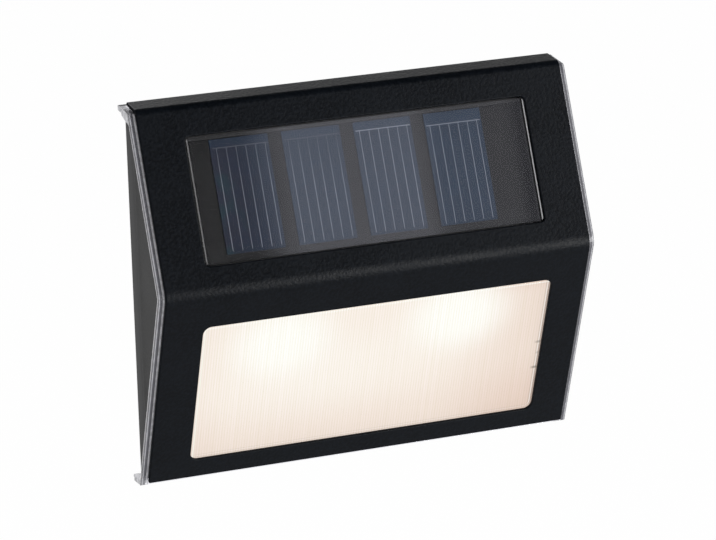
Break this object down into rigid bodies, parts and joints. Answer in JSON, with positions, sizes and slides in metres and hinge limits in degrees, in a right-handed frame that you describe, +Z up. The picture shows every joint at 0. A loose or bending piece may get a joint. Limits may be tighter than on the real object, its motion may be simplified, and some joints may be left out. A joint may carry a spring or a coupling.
{
  "type": "solar step light",
  "caption": "Wall-mounted solar step light: folded metal cover with a solar window above and a glowing fluted light window below, in a clear flanged moulding on a sealed back box.",
  "frame": {"origin": "centre of the back face where it rests on the wall, half way up the folded cover", "axes": "+X to the right as seen from the front, +Y back into the wall, +Z up"},
  "size_m": [0.1228, 0.0273, 0.1022],
  "materials": {
    "cover_coat": "textured powder coat",
    "clear_plastic": "clear moulded plastic",
    "housing_plastic": "matte moulded plastic",
    "plate_plastic": "matte moulded plastic",
    "seal_rubber": "soft rubber",
    "screw_steel": "zinc plated",
    "switch_shell": "tinned steel",
    "contact_metal": "nickel plated",
    "knob_plastic": "glossy plastic",
    "battery_sleeve": "glossy sleeve",
    "tape_foam": "adhesive foam tape",
    "reflector_white": "white moulded plastic",
    "circuit_board": "white solder mask",
    "led_body": "yellow silicone in a white body",
    "chip_black": "moulded chip",
    "choke_green": "lacquered ferrite",
    "capacitor_can": "aluminium can",
    "panel_board": "grey laminate",
    "silicon": "polycrystalline silicon",
    "clear_resin": "clear epoxy",
    "lead_red": "insulated wire",
    "lead_black": "insulated wire",
    "lead_yellow": "insulated wire"
  },
  "bodies": {
    "light": {"front_cover": "cover_coat", "clear_lens": "clear_plastic", "rear_housing": "housing_plastic", "back_plate": "plate_plastic", "back_gasket": "seal_rubber", "back_screws": "screw_steel", "switch_body": "switch_shell", "switch_pins": "contact_metal", "battery": "battery_sleeve", "battery_spring": "contact_metal", "contact_plates": "contact_metal", "cover_tape": "tape_foam", "solar_tape": "tape_foam", "reflector": "reflector_white", "led_board": "circuit_board", "leds": "led_body", "driver_chip": "chip_black", "choke": "choke_green", "capacitor": "capacitor_can", "solar_board": "panel_board", "solar_cells": "silicon", "solar_resin": "clear_resin", "solar_leads": "lead_red", "battery_leads": "lead_black", "switch_leads": "lead_yellow"},
    "battery_cover": {"battery_door": "plate_plastic", "door_seal": "seal_rubber", "door_screws": "screw_steel"},
    "switch_slider": {"switch_knob": "knob_plastic"}
  },
  "joints": [
    {"name": "battery_cover_lift", "type": "slide", "parent": "light", "child": "battery_cover", "axis": [0, 1, 0], "range_m": [0, 0.03]},
    {"name": "switch_slide", "type": "slide", "parent": "light", "child": "switch_slider", "axis": [1, 0, 0], "range_m": [0, 0.003]}
  ]
}
